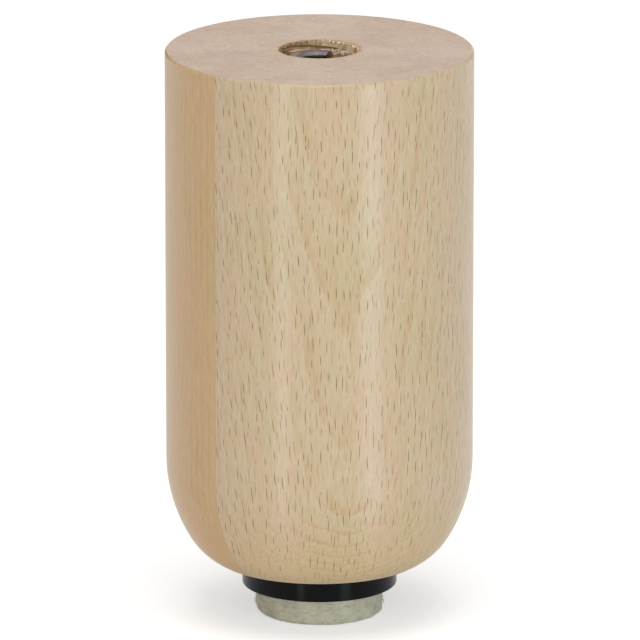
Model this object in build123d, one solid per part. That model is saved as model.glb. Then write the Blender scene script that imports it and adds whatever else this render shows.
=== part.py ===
# Turned beech furniture leg, with a threaded insert in its top and a felt glide under its foot.
# Millimetres. +Z is up the leg's axis, and z = 0 is the floor, under the felt.
import math
import os

from build123d import *

# Wooden body
leg_diameter = 60.0
body_height = 102.0
top_edge_chamfer = 0.4
foot_curve_height = 20.6  # where the side starts to curve in, above the flat of the foot
foot_upper_radius = 30.0
foot_lower_radius = 13.4
foot_curve_turn = 62.6475  # degrees that the whole curve turns through, down to the flat of the foot

# Threaded insert, turned from steel
insert_length = 13.0
insert_core_diameter = 13.2
insert_sink = 1.6  # how far its top lies below the top of the wood
insert_bore_diameter = 6.8  # the core of its M8 thread
insert_top_ring = 1.0  # flat ring round the countersink
countersink_angle = 120.0
bore_end_chamfer = 0.6
slot_width = 2.0
slot_depth = 3.0
slot_turn = 30.0  # degrees from +Y, clockwise seen from above

# The insert's coarse outer thread, and the track that it cuts in the wood
thread_depth = 1.3
thread_pitch = 4.5
thread_root_width = 1.4
thread_crest_width = 0.35
thread_lead_in = 1.4  # taper at the lower end
thread_turn = 117.0  # degrees about the axis; this brings its track to the back of the mouth
insert_fit = 0.1  # clearance to the wood, all round
mouth_inset = 0.1  # the torn mouth of the hole is this much narrower than the thread
bore_run_out = 4.0  # room for the bolt's end, below the insert
drill_tip_angle = 118.0

# Felt pad and the plastic glide that holds it
felt_diameter = 25.0
felt_stand_out = 5.5
felt_seat_depth = 1.5
felt_fit = 0.1
glide_rim = 2.55
glide_floor = 3.8
glide_edge_chamfer = 0.3

# Countersunk wood screw that holds the glide
screw_diameter = 3.5
screw_length = 16.0
screw_head_diameter = 7.0
screw_head_land = 0.25
screw_head_sink = 0.2
screw_point_length = 4.0
screw_fit = 0.05  # clearance to the glide and the wood, all round
pilot_run_out = 1.0
recess_span = 3.8
recess_width = 0.9
recess_depth = 1.5

# Radii
leg_radius = leg_diameter / 2
felt_radius = felt_diameter / 2
felt_seat_radius = felt_radius + felt_fit
glide_radius = felt_seat_radius + glide_rim
core_radius = insert_core_diameter / 2
crest_radius = core_radius + thread_depth
bore_radius = insert_bore_diameter / 2
wood_bore_radius = core_radius + insert_fit
mouth_radius = crest_radius - mouth_inset
screw_radius = screw_diameter / 2
screw_head_radius = screw_head_diameter / 2

# Levels, from the floor up
glide_bottom = felt_stand_out
felt_seat = glide_bottom + felt_seat_depth
foot_level = felt_seat + glide_floor
top_level = foot_level + body_height
insert_top = top_level - insert_sink
insert_bottom = insert_top - insert_length
screw_head_level = felt_seat + screw_head_sink
screw_tip_level = screw_head_level + screw_length

# Degrees of the foot's curve that its upper arc takes, so that the lower one ends on the flat
foot_lower_drop = foot_lower_radius * math.sin(math.radians(foot_curve_turn))
foot_upper_sweep = math.degrees(
    math.asin((foot_curve_height - foot_lower_drop) / (foot_upper_radius - foot_lower_radius))
)


def turned(*outline):
    """Revolve a closed outline of (radius, height) points about the leg's axis."""
    with BuildPart() as blank:
        with BuildSketch(Plane.XZ):
            with BuildLine():
                Polyline(*outline, close=True)
            make_face()
        revolve(axis=Axis.Z)
    return blank.part


def leg_blank():
    """A cylinder whose foot curves in along two tangent arcs, the lower one the tighter."""
    sweep_angle = math.radians(foot_upper_sweep)
    centre_step = foot_upper_radius - foot_lower_radius
    upper_centre = (leg_radius - foot_upper_radius, foot_level + foot_curve_height)
    lower_centre = (
        upper_centre[0] + centre_step * math.cos(sweep_angle),
        upper_centre[1] - centre_step * math.sin(sweep_angle),
    )
    with BuildPart() as blank:
        with BuildSketch(Plane.XZ):
            with BuildLine():
                upper_arc = CenterArc(upper_centre, foot_upper_radius, 0, -foot_upper_sweep)
                lower_arc = CenterArc(
                    lower_centre, foot_lower_radius, -foot_upper_sweep, foot_upper_sweep - foot_curve_turn
                )
                Polyline(
                    lower_arc @ 1,
                    (0, foot_level),
                    (0, top_level),
                    (leg_radius, top_level),
                    upper_arc @ 0,
                )
            make_face()
        revolve(axis=Axis.Z)
        top_face = blank.faces().sort_by(Axis.Z)[-1]
        chamfer(top_face.edges(), top_edge_chamfer)
    return blank.part


def thread_reach(grow, top):
    """What the thread is turned down to: its crest, tapered at the lower end."""
    reach_radius = crest_radius + grow
    reach_bottom = insert_bottom - grow
    return turned(
        (0, reach_bottom),
        (reach_radius - thread_lead_in, reach_bottom),
        (reach_radius, reach_bottom + thread_lead_in),
        (reach_radius, top),
        (0, top),
    )


def helical_ridge(grow, bottom, top):
    """The coarse thread, grown on every flank, that runs a turn past bottom and top.

    Its root lies inside the core, so that the two fuse or cut without a skin between them.
    Its path is one edge for each turn, which keeps every flank a simple surface.
    """
    root_radius = core_radius - thread_depth / 4
    tip_radius = crest_radius + thread_depth / 4
    flank_slope = (thread_root_width - thread_crest_width) / 2 / thread_depth
    root_half = thread_root_width / 2 + flank_slope * (core_radius - root_radius) + grow
    tip_half = max(thread_crest_width / 2 - flank_slope * (tip_radius - crest_radius), 0) + grow
    turns = math.ceil((top - bottom) / thread_pitch) + 2
    starts = [bottom + (turn - 1) * thread_pitch for turn in range(turns)]
    loops = [Helix(thread_pitch, thread_pitch, root_radius, center=(0, 0, start)) for start in starts]
    path = Wire([loop.edge() for loop in loops])
    with BuildSketch(Plane(origin=path @ 0, x_dir=(1, 0, 0), z_dir=(0, 1, 0))) as section:
        with BuildLine():
            Polyline(
                (0, -root_half),
                (tip_radius - root_radius, -tip_half),
                (tip_radius - root_radius, tip_half),
                (0, root_half),
                close=True,
            )
        make_face()
    return Rot(0, 0, thread_turn) * sweep(section.sketch, path=path, is_frenet=True)


def insert_hole():
    """The drilled hole with its torn mouth, and the track of the insert's thread in its wall."""
    hole_bottom = insert_bottom - bore_run_out
    drill_tip = hole_bottom - wood_bore_radius / math.tan(math.radians(drill_tip_angle / 2))
    drilled = turned(
        (0, drill_tip),
        (wood_bore_radius, hole_bottom),
        (wood_bore_radius, insert_top),
        (mouth_radius, insert_top),
        (mouth_radius, top_level + 1),
        (0, top_level + 1),
    )
    track = helical_ridge(insert_fit, insert_bottom, top_level) & thread_reach(insert_fit, top_level + 1)
    return drilled + track


def pilot_hole():
    """The hole of the glide's screw, drilled up into the foot."""
    pilot_radius = screw_radius + screw_fit
    pilot_top = screw_tip_level + pilot_run_out
    return turned(
        (0, foot_level),
        (pilot_radius, foot_level),
        (pilot_radius, pilot_top),
        (0, pilot_top),
    )


def leg_body():
    """The turned beech leg."""
    return leg_blank() - insert_hole() - pilot_hole()


def threaded_insert():
    """Slotted steel insert: coarse thread outside, M8 bore inside."""
    core = turned(
        (0, insert_bottom),
        (core_radius, insert_bottom),
        (core_radius, insert_top),
        (0, insert_top),
    )
    thread = helical_ridge(0, insert_bottom, insert_top) & thread_reach(0, insert_top)
    countersink_radius = core_radius - insert_top_ring
    countersink_depth = (countersink_radius - bore_radius) / math.tan(math.radians(countersink_angle / 2))
    bore = turned(
        (0, insert_bottom),
        (bore_radius + bore_end_chamfer, insert_bottom),
        (bore_radius, insert_bottom + bore_end_chamfer),
        (bore_radius, insert_top - countersink_depth),
        (countersink_radius, insert_top),
        (0, insert_top),
    )
    slot = Box(slot_width, 3 * crest_radius, 2 * slot_depth)
    return core + thread - bore - Pos(0, 0, insert_top) * Rot(0, 0, -slot_turn) * slot


def countersunk_outline(grow, head_level, tip_level):
    """Half outline of the screw, or of the hole that it sits in, from the head down to the point."""
    head_radius = screw_head_radius + grow
    shank_radius = screw_radius + grow
    land_level = screw_head_level + screw_head_land
    shank_level = land_level + head_radius - shank_radius
    return (
        (0, head_level),
        (head_radius, head_level),
        (head_radius, land_level),
        (shank_radius, shank_level),
        (shank_radius, tip_level),
    )


def glide_cup():
    """Moulded glide: a seat for the felt below, and a countersunk hole for the screw."""
    blank = turned(
        (0, glide_bottom),
        (glide_radius, glide_bottom),
        (glide_radius, foot_level),
        (0, foot_level),
    )
    lower_rim = blank.edges().filter_by(GeomType.CIRCLE).group_by(Axis.Z)[0]
    blank = chamfer(lower_rim, glide_edge_chamfer)
    seat = turned(
        (0, glide_bottom),
        (felt_seat_radius, glide_bottom),
        (felt_seat_radius, felt_seat),
        (0, felt_seat),
    )
    screw_hole = turned(*countersunk_outline(screw_fit, felt_seat, foot_level), (0, foot_level))
    return blank - seat - screw_hole


def glide_screw():
    """Countersunk screw with a cross recess and a tapered point."""
    blank = turned(
        *countersunk_outline(0, screw_head_level, screw_tip_level - screw_point_length),
        (0, screw_tip_level),
    )
    wing = Box(recess_span, recess_width, 2 * recess_depth)
    recess = Pos(0, 0, screw_head_level) * (wing + Rot(0, 0, 90) * wing)
    return blank - recess


def felt_pad():
    """Disc of wool felt, glued into the glide."""
    return turned(
        (0, 0),
        (felt_radius, 0),
        (felt_radius, felt_seat),
        (0, felt_seat),
    )


os.makedirs("parts", exist_ok=True)
for make_node in (leg_body, threaded_insert, glide_cup, glide_screw, felt_pad):
    export_step(make_node(), f"parts/{make_node.__name__}.step")
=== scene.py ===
import math
import random

import bmesh
import bpy
from mathutils import Matrix, Vector, noise


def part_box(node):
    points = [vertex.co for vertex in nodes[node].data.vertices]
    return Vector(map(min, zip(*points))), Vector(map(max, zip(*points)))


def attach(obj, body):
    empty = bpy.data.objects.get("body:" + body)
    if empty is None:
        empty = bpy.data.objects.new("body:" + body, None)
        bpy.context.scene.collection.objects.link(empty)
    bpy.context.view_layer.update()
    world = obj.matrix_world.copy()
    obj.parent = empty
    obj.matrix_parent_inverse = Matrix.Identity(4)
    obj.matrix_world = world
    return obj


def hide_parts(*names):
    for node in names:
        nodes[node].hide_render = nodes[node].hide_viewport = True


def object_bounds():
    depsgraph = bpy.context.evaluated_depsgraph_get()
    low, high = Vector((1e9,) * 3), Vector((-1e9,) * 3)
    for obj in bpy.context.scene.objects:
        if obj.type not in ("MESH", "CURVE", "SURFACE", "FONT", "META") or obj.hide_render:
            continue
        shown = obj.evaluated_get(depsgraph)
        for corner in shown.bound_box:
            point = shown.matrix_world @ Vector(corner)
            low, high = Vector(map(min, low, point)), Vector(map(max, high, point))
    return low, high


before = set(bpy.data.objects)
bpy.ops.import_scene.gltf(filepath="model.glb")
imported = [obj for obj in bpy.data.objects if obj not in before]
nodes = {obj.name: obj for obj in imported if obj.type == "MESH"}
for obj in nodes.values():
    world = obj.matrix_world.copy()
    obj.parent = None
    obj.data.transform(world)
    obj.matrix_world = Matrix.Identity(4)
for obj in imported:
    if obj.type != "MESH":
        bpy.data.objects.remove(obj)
cadLow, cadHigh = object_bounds()
mm = 0.001
random.seed(7)
print("stage: the frame is loaded")


# sRGB hex to a linear colour
def colour(hexValue):
    parts = [int(hexValue[i:i + 2], 16) / 255 for i in (1, 3, 5)]
    return tuple(c / 12.92 if c <= 0.04045 else ((c + 0.055) / 1.055) ** 2.4 for c in parts) + (1.0,)


# adds a node to a material or the world: inputs are values or other nodes' outputs,
# and stops are a colour ramp's positions and colours
def addNode(owner, kind, inputs=None, out=0, stops=None, **settings):
    made = owner.node_tree.nodes.new("ShaderNode" + kind)
    for name, value in settings.items():
        setattr(made, name, value)
    for key, value in (inputs or {}).items():
        if isinstance(value, bpy.types.NodeSocket):
            owner.node_tree.links.new(value, made.inputs[key])
        else:
            made.inputs[key].default_value = value
    if stops:
        elements = made.color_ramp.elements
        while len(elements) < len(stops):
            elements.new(0.5)
        for element, (position, value) in zip(elements, stops):
            element.position, element.color = position, colour(value)
    return made.outputs[out] if made.outputs else made


# a sum of values, and below it one of vectors
def calc(owner, operation, *values):
    return addNode(owner, "Math", dict(enumerate(values)), operation=operation)


def vectorCalc(owner, operation, *values, out=0):
    return addNode(owner, "VectorMath", dict(enumerate(values)), out=out, operation=operation)


# one coordinate of a vector: 0, 1 or 2 for x, y or z
def coordinate(owner, vector, index):
    return addNode(owner, "SeparateXYZ", {0: vector}, out=index)


# where a point of the surface lies, in millimetres
def surfacePlace(owner):
    return addNode(owner, "VectorMath", {0: addNode(owner, "TexCoord", out="Object"), "Scale": 1 / mm},
                   operation="SCALE")


# how far a place is from the leg's axis
def fromAxis(owner, place):
    return vectorCalc(owner, "LENGTH", vectorCalc(owner, "MULTIPLY", place, (1, 1, 0)), out="Value")


# the direction round the axis, which the marks of turning follow
def turnedTangent(owner):
    return addNode(owner, "Tangent", direction_type="RADIAL", axis="Z")


# spreads a value from between low and high to between start and end, and holds it there beyond them
def spread(owner, value, low=0.0, high=1.0, start=0.0, end=1.0, **settings):
    return addNode(owner, "MapRange", {0: value, 1: low, 2: high, 3: start, 4: end}, **settings)


# noise with so many steps to the millimetre, or with its own number along each axis in stretch
def grain(owner, place, perMm, detail, stretch=None, **more):
    if stretch:
        place = vectorCalc(owner, "MULTIPLY", place, stretch)
    return addNode(owner, "TexNoise", {"Vector": place, "Scale": perMm, "Detail": detail, **more})


def ramp(owner, value, *stops):
    return addNode(owner, "ValToRGB", {0: value}, stops=stops)


# goes from one value to another by a share from 0 to 1
def blend(owner, share, first, second):
    return addNode(owner, "Mix", {0: share, 2: first, 3: second})


# lays one colour over another by a share from 0 to 1
def layOver(owner, share, under, over, **settings):
    return addNode(owner, "Mix", {0: share, 6: under, 7: over}, out=2, data_type="RGBA", **settings)


# multiplies one colour by another
def tintBy(owner, share, under, over):
    return layOver(owner, share, under, over, blend_type="MULTIPLY")


def newMaterial(name):
    material = bpy.data.materials.new(name)
    material.use_nodes = True
    material.node_tree.nodes.clear()
    return material


def wear(piece, material):
    piece.data.materials.clear()
    piece.data.materials.append(material)


# turns a shape into an object of the scene, and frees the shape
def addObject(name, shape, material):
    mesh = bpy.data.meshes.new(name)
    shape.to_mesh(mesh)
    shape.free()
    thing = bpy.data.objects.new(name, mesh)
    bpy.context.scene.collection.objects.link(thing)
    if material:
        wear(thing, material)
    return thing


# a piece of the leg, smooth but for edges where the faces turn by the sharp angle in degrees or more
def addPiece(name, shape, material, sharpAngle):
    bmesh.ops.recalc_face_normals(shape, faces=shape.faces)
    piece = addObject(name, shape, material)
    for face in piece.data.polygons:
        face.use_smooth = True
    piece.data.set_sharp_from_angle(angle=math.radians(sharpAngle))
    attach(piece, "root")
    return piece


# turns an open or closed outline once about the axis
def spinRound(shape, steps):
    bmesh.ops.spin(shape, geom=shape.verts[:] + shape.edges[:], axis=(0, 0, 1), cent=(0, 0, 0),
                   angle=2 * math.pi, steps=steps, use_merge=True)


# Camera: a long lens, from the view that the photograph's ellipses give
view = {
    "place": (0.0001, -1.93185, 0.57289),
    "tiltDegrees": 75.09,
    "lens": 576.6,
    "sensorWidth": 36,
}
camera = bpy.data.objects.new("camera", bpy.data.cameras.new("camera"))
camera.location = view["place"]
camera.rotation_euler = (math.radians(view["tiltDegrees"]), 0, 0)
camera.data.lens = view["lens"]
camera.data.sensor_width = view["sensorWidth"]
bpy.context.scene.collection.objects.link(camera)
bpy.context.scene.camera = camera
bpy.context.scene.view_settings.view_transform = "Standard"

# Studio: a white tent, a soft box above and two strips low in front, which give the lacquer its two
# long highlights, black flags that keep the leg's edges clear against the white, and a pale floor
studio = {
    "tent": 0.56,
    "aim": (0, 0, 0.06),
    "boxes": (
        {"name": "softBoxTop", "place": (0, -0.3, 1.5), "size": (0.9, 0.9),
         "power": 7.5, "tint": (1.0, 0.99, 0.97)},
        {"name": "stripLeft", "place": (-0.73, -1.43, 0.14), "size": (0.24, 0.26),
         "power": 4.5, "tint": (0.93, 1.0, 1.0)},
        {"name": "stripRight", "place": (0.99, -1.26, 0.14), "size": (0.40, 0.26),
         "power": 7.9, "tint": (0.80, 0.95, 1.0)},
    ),
    "flags": (
        {"name": "flagLeft", "place": (-0.32, 0.74, 0.45), "size": (0.34, 0.9)},
        {"name": "flagRight", "place": (0.36, 0.74, 0.45), "size": (0.20, 0.9)},
    ),
    "floorSize": (8.0, 8.0),
    "floorDrop": 0.0001,  # how far the floor lies below the felt
    "floorColour": "#ececec",
    "floorLift": 0.46,  # what the camera sees of the floor beyond its lit white
}


# 1 for rays from the camera, off shiny surfaces and through glass, and 0 for those that only light the leg
def seenShare(owner):
    rays = owner.node_tree.nodes.new("ShaderNodeLightPath").outputs
    seen = calc(owner, "MAXIMUM", rays["Is Camera Ray"], rays["Is Glossy Ray"])
    return calc(owner, "MAXIMUM", seen, rays["Is Transmission Ray"])


def pointAt(thing, place):
    thing.location = place
    aim = Vector(studio["aim"]) - thing.location
    thing.rotation_euler = aim.to_track_quat("-Z", "Y").to_euler()


# a flat sheet, level and in the middle of the scene until it is placed
def addSheet(name, size, material):
    shape = bmesh.new()
    bmesh.ops.create_grid(shape, x_segments=1, y_segments=1, size=0.5)
    bmesh.ops.scale(shape, vec=(*size, 1), verts=shape.verts)
    return addObject(name, shape, material)


world = bpy.data.worlds.new("studio")
bpy.context.scene.world = world
world.use_nodes = True
background = world.node_tree.nodes["Background"]
background.inputs["Color"].default_value = (1, 1, 1, 1)
level = spread(world, seenShare(world), start=studio["tent"], end=1.0)
world.node_tree.links.new(level, background.inputs["Strength"])

for box in studio["boxes"]:
    lamp = bpy.data.lights.new(box["name"], "AREA")
    lamp.shape = "RECTANGLE"
    lamp.size, lamp.size_y = box["size"]
    lamp.energy = box["power"]
    lamp.color = box["tint"]
    lampObject = bpy.data.objects.new(box["name"], lamp)
    bpy.context.scene.collection.objects.link(lampObject)
    pointAt(lampObject, box["place"])

# matt black cloth, which the lacquer mirrors as a darker edge
flagMaterial = newMaterial("blackFlagCloth")
flagWeave = addNode(flagMaterial, "TexNoise", {
    "Vector": addNode(flagMaterial, "TexCoord", out="Object"), "Scale": 1 / mm,
})
flagTone = ramp(flagMaterial, flagWeave, (0.3, "#141414"), (0.7, "#1c1c1c"))
flagShade = addNode(flagMaterial, "BsdfDiffuse", {"Color": flagTone})
addNode(flagMaterial, "OutputMaterial", {"Surface": flagShade})
for flag in studio["flags"]:
    screen = addSheet(flag["name"], flag["size"], flagMaterial)
    pointAt(screen, flag["place"])

# matt white, which the camera sees lifted towards the white of the background, under a soft shadow
floorMaterial = newMaterial("whiteStudioFloor")
lit = addNode(floorMaterial, "BsdfDiffuse", {"Color": colour(studio["floorColour"])})
lift = calc(floorMaterial, "MULTIPLY", seenShare(floorMaterial), studio["floorLift"])
glow = addNode(floorMaterial, "Emission", {"Color": (1, 1, 1, 1), "Strength": lift})
both = addNode(floorMaterial, "AddShader", {0: lit, 1: glow})
addNode(floorMaterial, "OutputMaterial", {"Surface": both})
floor = addSheet("floor", studio["floorSize"], floorMaterial)
floor.location.z = -studio["floorDrop"]
print("stage: camera, lights and floor")

# Leg: two staves of steamed beech glued up, turned, sanded and given a satin lacquer.
# The wood gives fine dark ray flecks and faint cathedrals, and the lacquer gives long soft highlights.
leg = {
    "glueNormal": (-0.657, 0.754, 0),  # across the glue line, towards the rear stave
    "gluePlace": -3.5,  # mm from the axis
    "glueBlur": 0.25,  # mm to each side over which the staves' tones meet
    "glueWidth": 0.12,
    "glueShare": 0.25,  # how much of the flecks' brown the glue line takes on
    "ringTurn": 9.5,  # degrees to the right of the viewer, where the front stave's rings face
    "pithDistance": 60,  # mm
    "ringWidth": 1.12,
    "ringLean": 0.052,  # mm of ring for each mm of height
    "wanderReach": 1.1,  # mm by which the rings wander
    "rippleReach": 0.30,
    "figurePoint": 5.0,  # mm to each side over which the cathedrals' tips are drawn to a point
    "figureLift": 0.15,
    "rearRingTurn": 25,
    "rearRingWidth": 1.7,
    "rearWanderReach": 2.0,
    "fleckAcross": 1.5,  # mm from fleck to fleck
    "fleckAlong": 3.7,
    "fleckDeep": 60.0,
    "fleckFace": 30,  # mm in front of the axis, where they lie fleckAcross apart
    "fleckWidth": 0.10,  # mm, half of one
    "fleckLength": 1.7,
    "fleckLengths": (0.50, 1.30),  # the shortest and the longest, as shares of fleckLength
    "fleckLean": 0.10,  # how far they lean outwards at leanPlace, as a slope
    "leanPlace": 20.0,
    "ownLean": 0.08,  # what each one adds to that, to either side
    "rearCells": 7.0,  # a place of its own for the rear stave's pattern
    "fleckShare": 0.92,  # how much a fleck covers the wood
    "fleckRelief": -0.5,  # how far it sinks, as a share of the fibres' relief
    "mouthRadius": 8.2,  # mm, where the bare wood of the hole starts
    "rubbedRadius": 9.6,
    "frayShadeRadius": 6.6,  # less the depth below times noise, it gives the broken edge of the lacquered face, dark partly as painted shade round the hole's rim
    "frayShadeDepth": 2.6,
    "frayShadeEdge": 0.35,
    "frayShadeShare": 0.75,
    "endRingShare": 0.22,  # how much of the rings shows on the end grain
    "trackRadii": (7.82, 7.90),  # where the wall ends and the insert's track starts
    "topSkin": 0.05,  # mm below the top, where the bare wood starts
    "holeFloor": 60.0,  # mm up, below which there is no bare wood
    "ledgeFacing": 0.7,  # how far up a face in the hole looks when it is the ledge
    # each spreads its value from the first two numbers to the last two
    "ringFade": (0.38, 0.62, 0.15, 1.0),  # how much of the rings the clouds leave
    "fleckEdge": (0.55, 1.15, 1.0, 0.0),  # from a fleck's lens out into the wood
    "fleckTone": (0.0, 1.0, 0.26, 1.0),  # how dark each one is, by chance
    "fleckFront": (0.20, 0.75, 0.35, 1.0),  # by how squarely the face looks away from the pith
    "fleckRear": (0.15, 0.70, 0.0, 0.6),  # by how squarely the face looks to the rear
    "undercutAndShade": (-0.10, -0.60, 0.0, 1.0),  # by how far the face looks down
    "endFace": (0.82, 0.95, 0.0, 1.0),  # by how squarely the face looks up or down
    "endDashes": (0.60, 0.70, 0.0, 0.55),
    "rubbedPores": (0.35, 0.65, 0.0, 1.0),
    "bareLeftBrowning": (-6.0, 4.0, -0.17, 0.08),  # by mm to the right of the axis: it is browner on the left
    "tornFibres": (0.38, 0.60, 0.0, 1.0),
    "lacquerRough": (0.3, 0.7, 0.34, 0.40),  # the fibres, and the roughness they give
    # noises, in steps to the millimetre along each axis
    "clouds": (0.12, 0.12, 0.04),
    "wander": (0.07, 0.07, 0.035),
    "ripple": (0.5, 0.5, 0.12),
    "mottle": (0.9, 0.9, 0.30),
    "fibres": (3.6, 3.6, 0.30),  # streaks 0.3 mm wide and 3 mm long
    "dashes": (0.30, 1.1, 0),
    "tears": (1.6, 1.6, 0.4),
    "pores": 1.3,
    "handling": 0.14,
    "frayShadeNoise": 0.9,
    # finish
    "sandedRough": 0.68,
    "tornRough": 0.90,
    "turningMarks": 0.95,  # how strongly the marks of turning draw the highlights out along the leg
    "front": "#cfba9f",
    "rear": "#ccad85",
    "lateTint": "#f7ebdc",
    "footTintAndShade": "#fffaec",
    "fleck": "#6f5231",
    "redFleck": "#a06c50",
    "endGrain": "#dac7b6",
    "endLine": "#bda38d",
    "rubbed": "#d0ba92",
    "bareLight": "#efd8b6",
    "bareDark": "#b09474",
    "track": "#97734d",
    "ledge": "#d8b898",
}


# which stave a point lies in, 0 for the front one and 1 for the rear one, and the glue line between them
def findStaves(beech, place):
    across = vectorCalc(beech, "DOT_PRODUCT", place, leg["glueNormal"], out="Value")
    fromGlue = calc(beech, "SUBTRACT", across, leg["gluePlace"])
    rear = spread(beech, fromGlue, -leg["glueBlur"], leg["glueBlur"])
    glue = spread(beech, calc(beech, "ABSOLUTE", fromGlue), 0.0, leg["glueWidth"], 1.0, 0.0)
    return rear, glue


# late wood, which is dark: the front stave's rings are cylinders about a pith behind the leg, which lean
# a little, and the rear stave's are seen nearly edge on from the left
def makeRings(beech, place, frontPlace, rear, clouds):
    wander = grain(beech, place, 1.0, 2.0, leg["wander"])
    ripple = grain(beech, place, 1.0, 3.0, leg["ripple"])
    radius = fromAxis(beech, frontPlace)
    leaned = calc(beech, "MULTIPLY_ADD", coordinate(beech, place, 2), leg["ringLean"], radius)
    wandered = calc(beech, "MULTIPLY_ADD", wander, leg["wanderReach"], leaned)
    rippled = calc(beech, "MULTIPLY_ADD", ripple, leg["rippleReach"], wandered)
    sideways = calc(beech, "ABSOLUTE", coordinate(beech, frontPlace, 0))
    pointed = spread(beech, sideways, 0.0, leg["figurePoint"], 0.0, leg["figureLift"])
    frontRings = calc(beech, "DIVIDE", calc(beech, "SUBTRACT", rippled, pointed), leg["ringWidth"])
    rearPlace = addNode(beech, "Mapping", {
        "Vector": place, "Rotation": (0, 0, -math.radians(leg["rearRingTurn"])),
    })
    rearDepth = coordinate(beech, rearPlace, 1)
    rearWandered = calc(beech, "MULTIPLY_ADD", wander, leg["rearWanderReach"], rearDepth)
    rearRings = calc(beech, "DIVIDE", rearWandered, -leg["rearRingWidth"])
    ringPhase = calc(beech, "FRACT", blend(beech, rear, frontRings, rearRings))
    late = ramp(beech, ringPhase, (0.0, "#f0f0f0"), (0.10, "#e0e0e0"), (0.26, "#8c8c8c"),
                (0.80, "#101010"), (0.93, "#303030"), (1.0, "#f0f0f0"))
    broken = spread(beech, clouds, *leg["ringFade"])
    return calc(beech, "MULTIPLY", late, broken)


# ray flecks: one pointed lens in each cell, laid out round the pith. Gives their share and each one's hue.
def makeFlecks(beech, place, frontPlace, outward, rear):
    pithX = coordinate(beech, frontPlace, 0)
    pithY = calc(beech, "MULTIPLY", coordinate(beech, frontPlace, 1), -1.0)
    faceRadius = leg["pithDistance"] + leg["fleckFace"]
    turn = calc(beech, "ARCTAN2", pithX, pithY)
    row = calc(beech, "DIVIDE", coordinate(beech, place, 2), leg["fleckAlong"])
    frontCells = addNode(beech, "CombineXYZ", {
        0: calc(beech, "MULTIPLY", turn, faceRadius / leg["fleckAcross"]),
        1: row,
        2: calc(beech, "DIVIDE", pithY, leg["fleckDeep"]),
    })
    rearCells = addNode(beech, "CombineXYZ", {
        0: calc(beech, "DIVIDE", coordinate(beech, place, 0), leg["fleckAcross"]),
        1: row,
        2: leg["rearCells"],
    })
    cells = addNode(beech, "Mix", {0: rear, 4: frontCells, 5: rearCells}, out=1, data_type="VECTOR")
    voronoi = {"Vector": cells, "Scale": 1.0, "Randomness": 1.0}
    cellPlace = addNode(beech, "TexVoronoi", voronoi, out="Position")
    cellColour = addNode(beech, "TexVoronoi", voronoi, out="Color")
    tone, hue, size = (coordinate(beech, cellColour, index) for index in range(3))
    fromCell = vectorCalc(beech, "SUBTRACT", cells, cellPlace)
    fleckX = calc(beech, "MULTIPLY", coordinate(beech, fromCell, 0), leg["fleckAcross"])
    fleckZ = calc(beech, "MULTIPLY", coordinate(beech, fromCell, 1), leg["fleckAlong"])
    sideX = addNode(beech, "Clamp", {0: pithX, 1: -leg["leanPlace"], 2: leg["leanPlace"]})
    ownLean = spread(beech, hue, start=-leg["ownLean"], end=leg["ownLean"])
    lean = calc(beech, "MULTIPLY_ADD", sideX, leg["fleckLean"] / leg["leanPlace"], ownLean)
    fleckX = calc(beech, "SUBTRACT", fleckX, calc(beech, "MULTIPLY", fleckZ, lean))
    fleckX = calc(beech, "DIVIDE", calc(beech, "ABSOLUTE", fleckX), leg["fleckWidth"])
    shortest, longest = (share * leg["fleckLength"] for share in leg["fleckLengths"])
    fleckZ = calc(beech, "DIVIDE", fleckZ, spread(beech, size, start=shortest, end=longest))
    lens = calc(beech, "MULTIPLY_ADD", fleckZ, fleckZ, fleckX)
    fleck = spread(beech, lens, *leg["fleckEdge"], interpolation_type="SMOOTHSTEP")
    fleck = calc(beech, "MULTIPLY", fleck, spread(beech, tone, *leg["fleckTone"]))
    # they are plain to see where the face lies along the rings, and fade towards a quartered face
    pithTurn = math.radians(leg["ringTurn"])
    pith = (-math.sin(pithTurn) * leg["pithDistance"], math.cos(pithTurn) * leg["pithDistance"], 0)
    fromPith = vectorCalc(beech, "MULTIPLY", vectorCalc(beech, "SUBTRACT", place, pith), (1, 1, 0))
    fromPith = vectorCalc(beech, "NORMALIZE", fromPith)
    facing = vectorCalc(beech, "DOT_PRODUCT", fromPith, outward, out="Value")
    frontShare = spread(beech, facing, *leg["fleckFront"])
    rearShare = spread(beech, coordinate(beech, outward, 1), *leg["fleckRear"])
    return calc(beech, "MULTIPLY", fleck, blend(beech, rear, frontShare, rearShare)), hue


# the turned face without its flecks: each stave's tone with rings, clouds, mottle, fibres and glue line
def makeTurnedFace(beech, place, normal, rear, glue, late, clouds, fibres):
    mottle = grain(beech, place, 1.0, 3.0, leg["mottle"], Roughness=0.6)
    tone = layOver(beech, rear, colour(leg["front"]), colour(leg["rear"]))
    tone = tintBy(beech, late, tone, colour(leg["lateTint"]))
    for noiseShare, stops in (
        (clouds, ((0.36, "#fcf6f2"), (0.50, "#fbfaf6"), (0.64, "#f8f9f1"))),
        (mottle, ((0.36, "#fdf5f1"), (0.50, "#ffffff"), (0.64, "#f8faf1"))),
        (fibres, ((0.3, "#f0eae1"), (0.62, "#ffffff"))),
    ):
        tone = tintBy(beech, 1.0, tone, ramp(beech, noiseShare, *stops))
    # the curve of the foot cuts the fibres, which takes up more lacquer and warms the wood; the tint also
    # paints shade on faces that look down
    undercutAndShade = spread(beech, normal, *leg["undercutAndShade"])
    tone = tintBy(beech, undercutAndShade, tone, colour(leg["footTintAndShade"]))
    return layOver(beech, calc(beech, "MULTIPLY", glue, leg["glueShare"]), tone, colour(leg["fleck"]))
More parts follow.
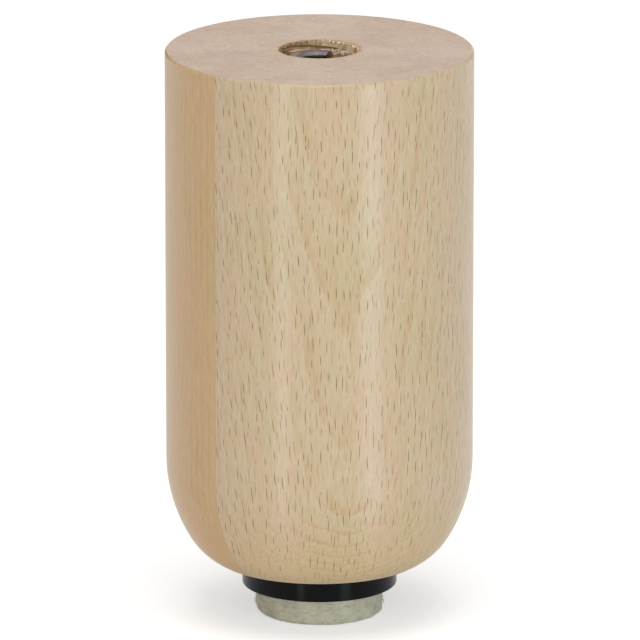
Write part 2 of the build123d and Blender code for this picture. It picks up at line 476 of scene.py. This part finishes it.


# the sanded end grain on top, rubbed bare and frayed round the hole, with a dark band at the hole's rim that
# is partly painted shade
def makeEndGrain(beech, place, frontPlace, late, axisDistance):
    pores = grain(beech, place, leg["pores"], 4.0, Roughness=0.6)
    handling = grain(beech, place, leg["handling"], 3.0)
    dashes = grain(beech, frontPlace, 1.0, 2.0, leg["dashes"])
    endLine = colour(leg["endLine"])
    endRings = calc(beech, "MULTIPLY", late, leg["endRingShare"])
    tone = layOver(beech, endRings, colour(leg["endGrain"]), endLine)
    tone = tintBy(beech, 1.0, tone, ramp(beech, pores, (0.32, "#f1ece7"), (0.62, "#ffffff")))
    tone = layOver(beech, spread(beech, dashes, *leg["endDashes"]), tone, endLine)
    tone = tintBy(beech, 1.0, tone, ramp(beech, handling, (0.38, "#faf3f2"), (0.60, "#fffefb")))
    rubbed = spread(beech, axisDistance, leg["mouthRadius"], leg["rubbedRadius"], 1.0, 0.0)
    rubbed = calc(beech, "MULTIPLY", rubbed, spread(beech, pores, *leg["rubbedPores"]))
    tone = layOver(beech, rubbed, tone, colour(leg["rubbed"]))
    # a dark, broken band round the hole's rim: frayed lacquer, and painted shade where the top meets the hole
    frayShadeNoise = grain(beech, place, leg["frayShadeNoise"], 4.0, Roughness=0.65)
    frayedAndShaded = calc(beech, "MULTIPLY_ADD", frayShadeNoise, -leg["frayShadeDepth"], axisDistance)
    frayShadeEnd = leg["frayShadeRadius"] + leg["frayShadeEdge"]
    frayedAndShaded = spread(beech, frayedAndShaded, leg["frayShadeRadius"], frayShadeEnd, leg["frayShadeShare"], 0.0)
    return layOver(beech, frayedAndShaded, tone, colour(leg["bareDark"]))


# the torn, bare wood inside the hole, browner on the left. Gives its tone, and 1 where it lies.
def makeTornHole(beech, place, normal, axisDistance):
    tears = grain(beech, place, 1.0, 4.0, leg["tears"])
    leftBrowning = spread(beech, coordinate(beech, place, 0), *leg["bareLeftBrowning"])
    torn = spread(beech, calc(beech, "ADD", tears, leftBrowning), *leg["tornFibres"])
    tone = layOver(beech, torn, colour(leg["bareDark"]), colour(leg["bareLight"]))
    # the insert's track at the wall's foot: wood crushed by the thread, and painted shade in the groove
    tone = layOver(beech, spread(beech, axisDistance, *leg["trackRadii"]), tone, colour(leg["track"]))
    onLedge = calc(beech, "GREATER_THAN", normal, leg["ledgeFacing"])
    tone = layOver(beech, onLedge, tone, colour(leg["ledge"]))
    high = coordinate(beech, place, 2)
    nearAxis = calc(beech, "LESS_THAN", axisDistance, leg["mouthRadius"])
    belowTop = calc(beech, "LESS_THAN", high, cadHigh.z / mm - leg["topSkin"])
    aboveFloor = calc(beech, "GREATER_THAN", high, leg["holeFloor"])
    return tone, calc(beech, "MULTIPLY", calc(beech, "MULTIPLY", nearAxis, belowTop), aboveFloor)


def makeBeech():
    beech = newMaterial("lacqueredBeech")
    place = surfacePlace(beech)
    outward = addNode(beech, "TexCoord", out="Normal")
    normal = coordinate(beech, outward, 2)
    frontPlace = addNode(beech, "Mapping", {
        "Vector": place,
        "Rotation": (0, 0, -math.radians(leg["ringTurn"])),
        "Location": (0, -leg["pithDistance"], 0),
    })
    clouds = grain(beech, place, 1.0, 2.0, leg["clouds"])
    fibres = grain(beech, place, 1.0, 4.0, leg["fibres"], Roughness=0.6)
    axisDistance = fromAxis(beech, place)
    rear, glue = findStaves(beech, place)
    late = makeRings(beech, place, frontPlace, rear, clouds)
    fleck, hue = makeFlecks(beech, place, frontPlace, outward, rear)
    fleckColour = ramp(beech, hue, (0.70, leg["fleck"]), (0.95, leg["redFleck"]))
    tone = makeTurnedFace(beech, place, normal, rear, glue, late, clouds, fibres)
    tone = layOver(beech, calc(beech, "MULTIPLY", fleck, leg["fleckShare"]), tone, fleckColour)
    upward = spread(beech, calc(beech, "ABSOLUTE", normal), *leg["endFace"])
    tone = layOver(beech, upward, tone, makeEndGrain(beech, place, frontPlace, late, axisDistance))
    bareTone, bare = makeTornHole(beech, place, normal, axisDistance)
    tone = layOver(beech, bare, tone, bareTone)
    rough = spread(beech, fibres, *leg["lacquerRough"])
    rough = blend(beech, upward, rough, leg["sandedRough"])
    rough = blend(beech, bare, rough, leg["tornRough"])
    relief = calc(beech, "MULTIPLY_ADD", fleck, leg["fleckRelief"], fibres)
    bump = addNode(beech, "Bump", {"Height": relief, "Strength": 0.15, "Distance": 0.02 * mm})
    shade = addNode(beech, "BsdfPrincipled", {
        "Base Color": tone, "Roughness": rough, "IOR": 1.5, "Normal": bump,
        "Anisotropic": leg["turningMarks"], "Anisotropic Rotation": 0.25, "Tangent": turnedTangent(beech),
    })
    addNode(beech, "OutputMaterial", {"Surface": shade})
    return beech


wear(nodes["leg_body"], makeBeech())
print("stage: beech leg")

# Torn fibres round the mouth of the hole, where the drill and the insert's thread lifted the end grain.
# Raw beech, matt and paler than the lacquered face, browner where it is crushed.
splinters = {
    "wallRadius": 7.8,  # mm
    "rim": 112.78,
    "ledge": 111.2,
    "wallCount": 90,
    "hangShare": 0.65,  # this many hang from the rim, and the others stand on the ledge
    "standingLength": 0.5,  # how long those are beside the hanging ones
    "wallHeight": (0.35, 0.95),
    "wallWidth": (0.15, 0.60),
    "wallDrop": 0.25,
    "wallTwist": 14,  # degrees to either side
    "rimCount": 70,
    "rimReach": (0.15, 0.75),  # how far a flake stands out over the hole
    "rimWidth": (0.3, 1.3),
    "rimRoot": (0.08, 0.14),  # how far its root lies out in the wood and down from the rim
    "rimHidden": 0.1,  # how much longer it is than its reach
    "rimTwist": 35,
    "rimDroop": (-112, -92),
    "thickness": 0.14,
    "halfEnds": (0.7, 0.1),  # a sliver's root and tip from the middle to a corner, as shares of its width
    "lean": 0.35,  # how far a tip may stand in from the wall
    "chipSize": (0.18, 0.62),
    "chipSection": (0.5, 0.35),  # width and thickness, as shares of its size
    "chipTilt": (60, 100),
    "chipRest": 0.12,  # how high its middle lies above what it rests on, as a share of its size
    "chipHeap": 0.15,
    "chipGather": 0.6,  # how closely they gather in the middle of a heap
    "chips": (  # crushed wood left in the slot, on the left and on the insert's ring
        {"middle": (3.3, 4.4), "spread": (1.1, 1.2), "count": 90},
        {"middle": (-6.3, 3.2), "spread": (0.7, 1.0), "count": 30},
        {"middle": (4.8, 3.0), "spread": (0.9, 1.3), "count": 90},
    ),
    "sharpAngle": 30,
    "fibres": (2.2, 2.2, 0.5),  # steps to the millimetre
    "leftBrowningSpan": (-6.0, 4.0, -0.20, 0.06),  # by mm to the right of the axis: they are browner on the left
    "pale": "#efdabc",
    "crushed": "#96795a",
}


def makeRawBeech():
    raw = newMaterial("tornRawBeech")
    place = surfacePlace(raw)
    fibres = grain(raw, place, 1.0, 4.0, splinters["fibres"])
    leftBrowning = spread(raw, coordinate(raw, place, 0), *splinters["leftBrowningSpan"])
    fibres = calc(raw, "ADD", fibres, leftBrowning)
    tone = ramp(raw, fibres, (0.40, splinters["crushed"]), (0.54, splinters["pale"]))
    shade = addNode(raw, "BsdfPrincipled", {"Base Color": tone, "Roughness": 0.95})
    addNode(raw, "OutputMaterial", {"Surface": shade})
    return raw


# a sliver that tapers from its width to a seventh of it, standing on the origin
def addSliver(shape, width, thickness, height):
    root, tip = splinters["halfEnds"]
    sliver = bmesh.ops.create_cone(
        shape, cap_ends=True, segments=4, radius1=width * root * mm, radius2=width * tip * mm,
        depth=height * mm, matrix=Matrix.Rotation(math.pi / 4, 4, "Z"))["verts"]
    bmesh.ops.scale(shape, vec=(thickness / width, 1, 1), verts=sliver)
    bmesh.ops.translate(shape, vec=(0, 0, height / 2 * mm), verts=sliver)
    return sliver


def turnPart(shape, part, angle, axis):
    bmesh.ops.rotate(shape, matrix=Matrix.Rotation(angle, 3, axis), verts=part)


# sets a part at a radius and a height, at a random place round the hole
def setRound(shape, part, radius, height):
    place = Matrix.Rotation(random.uniform(0, 2 * math.pi), 4, "Z")
    place = place @ Matrix.Translation((radius * mm, 0, height * mm))
    bmesh.ops.transform(shape, matrix=place, verts=part)


splinterShape = bmesh.new()
for i in range(splinters["wallCount"]):
    hang = random.random() < splinters["hangShare"]
    height = random.uniform(*splinters["wallHeight"]) * (1 if hang else splinters["standingLength"])
    width = random.uniform(*splinters["wallWidth"])
    sliver = addSliver(splinterShape, width, splinters["thickness"], height)
    top = splinters["rim"] - random.uniform(0, splinters["wallDrop"])
    if hang:
        turnPart(splinterShape, sliver, math.pi, "X")
    twist = random.uniform(-splinters["wallTwist"], splinters["wallTwist"])
    turnPart(splinterShape, sliver, math.radians(twist), "X")
    tilt = random.uniform(0, splinters["lean"]) * (1 if hang else -1)
    turnPart(splinterShape, sliver, tilt, "Y")
    setRound(splinterShape, sliver, splinters["wallRadius"], top if hang else splinters["ledge"])
for i in range(splinters["rimCount"]):
    reach = random.uniform(*splinters["rimReach"])
    width = random.uniform(*splinters["rimWidth"])
    rootOut, rootDown = splinters["rimRoot"]
    flake = addSliver(splinterShape, width, splinters["thickness"], reach + splinters["rimHidden"])
    twist = random.uniform(-splinters["rimTwist"], splinters["rimTwist"])
    turnPart(splinterShape, flake, math.radians(twist), "X")
    turnPart(splinterShape, flake, math.radians(random.uniform(*splinters["rimDroop"])), "Y")
    setRound(splinterShape, flake, splinters["wallRadius"] + rootOut,
             splinters["rim"] - splinters["thickness"] / 2 - rootDown)
chipWidth, chipThickness = splinters["chipSection"]
for heap in splinters["chips"]:
    for i in range(heap["count"]):
        size = random.uniform(*splinters["chipSize"])
        chip = addSliver(splinterShape, size * chipWidth, size * chipThickness, size)
        turn = Matrix.Rotation(random.uniform(0, 2 * math.pi), 4, "Z")
        tilt = Matrix.Rotation(math.radians(random.uniform(*splinters["chipTilt"])), 4, "X")
        gather = splinters["chipGather"]
        spot = [m + random.gauss(0, s) * gather for m, s in zip(heap["middle"], heap["spread"])]
        level = splinters["ledge"] + size * splinters["chipRest"] + random.uniform(0, splinters["chipHeap"])
        place = Matrix.Translation((spot[0] * mm, spot[1] * mm, level * mm))
        bmesh.ops.transform(splinterShape, matrix=place @ (turn @ tilt), verts=chip)
for vertex in splinterShape.verts:
    vertex.co.z = min(vertex.co.z, splinters["rim"] * mm)
addPiece("tornFibres", splinterShape, makeRawBeech(), splinters["sharpAngle"])
print("stage: torn fibres")

# Insert: free-turned low-carbon steel with a bright zinc plating, which gives a cool, slightly blurred
# mirror, with crushed wood lying on it and rings of painted reflection and shade. The CAD piece's plain bore
# gets its M8 thread here.
insert = {
    "threadPitch": 1.25,  # mm
    "majorRadius": 4.0,
    "insideRadius": 3.25,  # the cutter starts inside the bore
    "crestHalf": 0.07,
    "insideHalf": 0.50,
    "stepsPerTurn": 40,
    "turns": 14,
    "weld": 0.0005,  # mm, within which the CAD mesh's points are merged
    "mouthRadius": 4.32,  # mm, where the painted shade in the thread's mouth ends
    "edgeRadius": 6.6,
    "flow": 1.2,  # noises, in steps to the millimetre
    "dusting": 1.9,
    "flowMiddle": 0.5,
    "zoneWander": 0.10,  # how far the flow moves the plating's painted rings of reflection and shade, as a share of their whole width
    "dustSides": (-6.0, 4.0),  # mm, from the left of the ring to the right
    "dustPatches": (0.28, 0.46),
    "rough": (0.3, 0.7, 0.24, 0.42),  # the flow, and the roughness it gives
    "sharpAngle": 30,  # degrees between faces, from which an edge stays sharp
    "plating": "#837a7f",
    "reflectedWallBand": "#665e66",
    "innerEdge": "#766d70",
    "edgeHighlight": "#fbf1e8",
    "dust": "#8d7a66",
    "mouthShade": "#1d1610",
}


def makePlating():
    plating = newMaterial("zincPlatedTurnedSteel")
    place = surfacePlace(plating)
    flow = grain(plating, place, insert["flow"], 5.0)
    zone = spread(plating, fromAxis(plating, place), insert["mouthRadius"], insert["edgeRadius"])
    wander = calc(plating, "SUBTRACT", flow, insert["flowMiddle"])
    zone = calc(plating, "MULTIPLY_ADD", wander, insert["zoneWander"], zone)
    # the tone by radius paints light: a dark mouth as painted shade, a dark band as a painted reflection of
    # the hole's wall, and a painted highlight on the outer edge
    tone = ramp(plating, zone, (0.02, insert["mouthShade"]), (0.10, insert["innerEdge"]),
                (0.34, insert["plating"]), (0.52, insert["reflectedWallBand"]),
                (0.66, insert["plating"]), (0.80, insert["edgeHighlight"]))
    # crushed wood lies on the left and the right of the ring
    sideways = spread(plating, coordinate(plating, place, 0), *insert["dustSides"])
    dusty = ramp(plating, sideways, (0.16, "#ffffff"), (0.34, "#202020"),
                 (0.74, "#202020"), (0.80, "#ffffff"))
    patches = spread(plating, grain(plating, place, insert["dusting"], 4.0), *insert["dustPatches"])
    dusty = calc(plating, "MULTIPLY", dusty, patches)
    shade = addNode(plating, "BsdfPrincipled", {
        "Base Color": layOver(plating, dusty, tone, colour(insert["dust"])),
        "Metallic": calc(plating, "SUBTRACT", 1.0, dusty),
        "Roughness": spread(plating, flow, *insert["rough"]),
    })
    addNode(plating, "OutputMaterial", {"Surface": shade})
    return plating


# the solid that an M8 tap cuts away: its section, turned and raised in a helix
def makeThreadCutter(bottom):
    shape = bmesh.new()
    start = bottom - insert["threadPitch"] * mm
    corners = [
        shape.verts.new((radius * mm, 0, start + half * mm))
        for radius, half in (
            (insert["insideRadius"], -insert["insideHalf"]),
            (insert["majorRadius"], -insert["crestHalf"]),
            (insert["majorRadius"], insert["crestHalf"]),
            (insert["insideRadius"], insert["insideHalf"]),
        )
    ]
    section = shape.faces.new(corners)
    steps = insert["stepsPerTurn"] * insert["turns"]
    bmesh.ops.spin(shape, geom=[section, *section.edges, *section.verts], axis=(0, 0, 1), cent=(0, 0, 0),
                   dvec=(0, 0, insert["threadPitch"] * insert["turns"] * mm / steps),
                   angle=2 * math.pi * insert["turns"], steps=steps)
    bmesh.ops.recalc_face_normals(shape, faces=shape.faces)
    return addObject("threadCutter", shape, None)


platingMaterial = makePlating()
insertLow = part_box("threaded_insert")[0]
insertShape = bmesh.new()
insertShape.from_mesh(nodes["threaded_insert"].data)
bmesh.ops.remove_doubles(insertShape, verts=insertShape.verts, dist=insert["weld"] * mm)
insertPiece = addPiece("insertWithThread", insertShape, platingMaterial, insert["sharpAngle"])
cutter = makeThreadCutter(insertLow.z)
cut = insertPiece.modifiers.new("thread", "BOOLEAN")
cut.operation, cut.solver, cut.object = "DIFFERENCE", "EXACT", cutter
bpy.context.view_layer.update()
threaded = bpy.data.meshes.new_from_object(insertPiece.evaluated_get(bpy.context.evaluated_depsgraph_get()))
insertPiece.modifiers.clear()
insertPiece.data = threaded
threaded.set_sharp_from_angle(angle=math.radians(insert["sharpAngle"]))
bpy.data.objects.remove(cutter)
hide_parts("threaded_insert")
print("stage: insert with", len(threaded.polygons), "faces")

# Screw: cold-headed steel with the same bright zinc plating, hidden by the felt
wear(nodes["glide_screw"], platingMaterial)

# Glide: injection-moulded black polyethylene, which gives a dark satin skin with rounded rims
glide = {
    "radius": 15.15,  # mm
    "bottom": 5.5,
    "top": 10.8,
    "topBevel": 0.15,
    "rimRound": 0.35,
    "rimSteps": 5,
    "seatRadius": 12.6,
    "seatRound": 0.2,
    "seatSteps": 4,
    "seat": 7.0,
    "screwHole": ((3.55, 7.0), (3.55, 7.45), (1.8, 9.2)),  # radius and height of each corner
    "steps": 144,
    "skinGrain": 6.0,  # noises, in steps to the millimetre
    "flow": 0.35,
    "rough": (0.3, 0.7, 0.24, 0.28),  # the flow, and the roughness it gives
    "shine": 0.11,
    "sharpAngle": 30,
    "skin": "#040405",
}


def makePolyethylene():
    plastic = newMaterial("mouldedBlackPolyethylene")
    place = surfacePlace(plastic)
    skinGrain = grain(plastic, place, glide["skinGrain"], 3.0)
    flow = grain(plastic, place, glide["flow"], 2.0)
    shade = addNode(plastic, "BsdfPrincipled", {
        "Base Color": colour(glide["skin"]), "IOR": 1.5, "Specular IOR Level": glide["shine"],
        "Roughness": spread(plastic, flow, *glide["rough"]),
        "Normal": addNode(plastic, "Bump", {"Height": skinGrain, "Strength": 0.1, "Distance": 0.01 * mm}),
        "Anisotropic": 1.0, "Anisotropic Rotation": 0.25, "Tangent": turnedTangent(plastic),
    })
    addNode(plastic, "OutputMaterial", {"Surface": shade})
    return plastic


# the glide's half outline, from the screw's hole out, down the rim and back under the seat
def glideOutline():
    holeRadius = glide["screwHole"][-1][0]
    yield holeRadius, glide["top"]
    yield glide["radius"] - glide["topBevel"], glide["top"]
    yield glide["radius"], glide["top"] - glide["topBevel"]
    for i in range(glide["rimSteps"] + 1):
        turn = math.radians(90 * i / glide["rimSteps"])
        yield (glide["radius"] - glide["rimRound"] * (1 - math.cos(turn)),
               glide["bottom"] + glide["rimRound"] * (1 - math.sin(turn)))
    for i in range(glide["seatSteps"] + 1):
        turn = math.radians(90 * i / glide["seatSteps"])
        yield (glide["seatRadius"] + glide["seatRound"] * (1 - math.sin(turn)),
               glide["bottom"] + glide["seatRound"] * (1 - math.cos(turn)))
    yield glide["seatRadius"], glide["seat"]
    yield from glide["screwHole"]


glideShape = bmesh.new()
ringCorners = [glideShape.verts.new((radius * mm, 0, height * mm)) for radius, height in glideOutline()]
for first, second in zip(ringCorners, ringCorners[1:] + ringCorners[:1]):
    glideShape.edges.new((first, second))
spinRound(glideShape, glide["steps"])
glidePiece = addPiece("glideRing", glideShape, makePolyethylene(), glide["sharpAngle"])
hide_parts("glide_cup")
print("stage: glide with", len(glidePiece.data.polygons), "faces")

# Felt: pressed wool, cut from sheet with a knife and glued in, which gives a dull matted face,
# long fibres along the sheet, an uneven cut edge and a fuzz of loose hairs
felt = {
    "radius": 12.45,  # mm
    "height": 7.0,
    "seatHeight": 1.5,
    "rows": 22,
    "steps": 160,
    "leftRound": 1.1,  # the lower edge is worn round on the left and stays sharp on the right
    "rightRound": 0.25,
    "facets": (24, 36, 57, 79, 98),  # degrees to the right of the viewer, where knife cuts meet
    "matting": 0.10,  # how uneven the cut side is
    "mattingPerMm": 0.55,
    "mattingOctaves": 4,
    "mattingFade": 0.6,  # mm below the seat over which the matting starts
    "core": 2.0,  # mm from the axis, within which it keeps its share of the width
    "sole": 0.08,  # how uneven the underside is
    "soleLevel": 0.01,  # mm, below which a point belongs to it
    "solePerMm": 0.5,
    "soleOctaves": 3,
    "unevenness": (0.9, 2.0),  # how fast the finer octaves fade, and how much finer each one is
    "hairs": 420,
    "hairRadius": 0.028,
    "hairLength": (0.5, 2.2),
    "hairEdges": (0.5, 0.1),  # how far they stay from the pad's underside and from the glide
    "hairRoot": 0.01,  # how deep they start in the pad
    "hairLay": (90, 22),  # degrees from upright, so along the sheet, and how far that varies
    "hairLift": (0, 10),  # degrees from the way round the pad
    "hairBends": (-0.12, 0.10, 0.22),
    "streaks": (0.6, 0.6, 1.7),  # noises, in steps to the millimetre
    "brownSpecks": (0.45, 0.45, 1.5),
    "mats": 0.35,
    "speckEdge": (0.66, 0.74, 0.0, 0.7),  # the noise, and how much of the brown it gives
    "weld": 0.001,  # mm, within which the turned outline's points are merged
    "sharpAngle": 45,
    "wool": "#c4bfac",
    "woolDark": "#ada996",
    "woolPale": "#cbcabb",
    "brownFibre": "#8f7a55",
}


def makeWoolFelt():
    wool = newMaterial("pressedWoolFelt")
    place = surfacePlace(wool)
    streaks = grain(wool, place, 1.0, 5.0, felt["streaks"], Roughness=0.65, Distortion=0.8)
    mats = grain(wool, place, felt["mats"], 4.0)
    tone = ramp(wool, streaks, (0.30, felt["woolDark"]), (0.48, felt["wool"]), (0.72, felt["woolPale"]))
    matTone = ramp(wool, mats, (0.35, "#ece8e8"), (0.5, "#f8f6f0"), (0.65, "#fdfef2"))
    tone = tintBy(wool, 1.0, tone, matTone)
    specks = spread(wool, grain(wool, place, 1.0, 3.0, felt["brownSpecks"]), *felt["speckEdge"])
    tone = layOver(wool, specks, tone, colour(felt["brownFibre"]))
    shade = addNode(wool, "BsdfPrincipled", {
        "Base Color": tone, "Roughness": 0.95, "Sheen Weight": 0.15, "Sheen Roughness": 0.6,
        "Specular IOR Level": 0.2,
        "Normal": addNode(wool, "Bump", {"Height": streaks, "Strength": 0.30, "Distance": 0.10 * mm}),
    })
    addNode(wool, "OutputMaterial", {"Surface": shade})
    return wool


# the cut outline: straight from one knife cut to the next on the right, round elsewhere
def feltReach(azimuth):
    for first, second in zip(felt["facets"], felt["facets"][1:]):
        if first <= azimuth <= second:
            middle, half = (first + second) / 2, (second - first) / 2
            return math.cos(math.radians(half)) / math.cos(math.radians(azimuth - middle))
    return 1.0


# gives a point of the plain disc its knife cuts, its matted side, its round lower edge and its uneven sole
def shapeFelt(vertex):
    reach = Vector((vertex.co.x, vertex.co.y)).length / mm
    level = vertex.co.z / mm
    azimuth = math.degrees(math.atan2(vertex.co.x, -vertex.co.y))
    leftness = 0.5 - 0.5 * math.sin(math.radians(azimuth))
    edgeRound = felt["rightRound"] + (felt["leftRound"] - felt["rightRound"]) * leftness
    point = Vector(vertex.co) / mm
    matted = noise.fractal(point * felt["mattingPerMm"], *felt["unevenness"], felt["mattingOctaves"])
    fade = min(1.0, max(0.0, (felt["height"] - felt["seatHeight"] - level) / felt["mattingFade"]))
    scale = feltReach(azimuth) * (1 + fade * (matted * felt["matting"]) / max(reach, felt["core"]))
    if level < edgeRound:
        turn = math.radians(90 * level / edgeRound)
        scale *= 1 - edgeRound * (1 - math.sin(turn)) / felt["radius"]
        vertex.co.z = edgeRound * (1 - math.cos(turn)) * mm
    if level < felt["soleLevel"]:
        rise = noise.fractal(point * felt["solePerMm"], *felt["unevenness"], felt["soleOctaves"])
        vertex.co.z = max(0.0, rise * felt["sole"]) * mm
    vertex.co.x *= scale
    vertex.co.y *= scale


# a loose hair, one millimetre long: three-sided, tapered and bent
def makeHair(bend):
    form = bmesh.new()
    bmesh.ops.create_cone(form, cap_ends=True, segments=3, radius1=felt["hairRadius"] * mm,
                          radius2=felt["hairRadius"] / 3 * mm, depth=mm)
    longEdges = [edge for edge in form.edges if edge.calc_length() > mm / 2]
    bmesh.ops.subdivide_edges(form, edges=longEdges, cuts=2)
    for vertex in form.verts:
        vertex.co.x += bend * mm * (1 - (2 * vertex.co.z / mm) ** 2)
    hair = bpy.data.meshes.new("hairForm")
    form.to_mesh(hair)
    form.free()
    return hair


feltShape = bmesh.new()
halfOutline = [
    feltShape.verts.new((radius * mm, 0, height * mm))
    for radius, height in ((0, felt["height"]), (felt["radius"], felt["height"]), (felt["radius"], 0), (0, 0))
]
halfEdges = [feltShape.edges.new(pair) for pair in zip(halfOutline, halfOutline[1:])]
bmesh.ops.subdivide_edges(feltShape, edges=halfEdges, cuts=felt["rows"])
spinRound(feltShape, felt["steps"])
bmesh.ops.remove_doubles(feltShape, verts=feltShape.verts, dist=felt["weld"] * mm)
for vertex in feltShape.verts:
    shapeFelt(vertex)
hairForms = [makeHair(bend) for bend in felt["hairBends"]]
lowest, belowGlide = felt["hairEdges"]
for i in range(felt["hairs"]):
    length = random.uniform(*felt["hairLength"])
    level = random.uniform(lowest, felt["height"] - felt["seatHeight"] - belowGlide)
    azimuth = random.uniform(-180, 180)
    hair = random.choice(hairForms).copy()
    stretch = Matrix.Diagonal((length, 1, length, 1))
    lay = Matrix.Rotation(math.radians(random.gauss(*felt["hairLay"])), 4, "X")
    lift = Matrix.Rotation(math.radians(random.gauss(*felt["hairLift"])), 4, "Z")
    start = felt["radius"] * feltReach(azimuth) - felt["hairRoot"]
    out = Matrix.Translation((start * mm, 0, level * mm))
    hair.transform(Matrix.Rotation(math.radians(azimuth - 90), 4, "Z") @ out @ lift @ lay @ stretch)
    feltShape.from_mesh(hair)
    bpy.data.meshes.remove(hair)
feltPad = addPiece("feltPad", feltShape, makeWoolFelt(), felt["sharpAngle"])
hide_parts("felt_pad")
print("stage: felt with", len(feltPad.data.polygons), "faces")
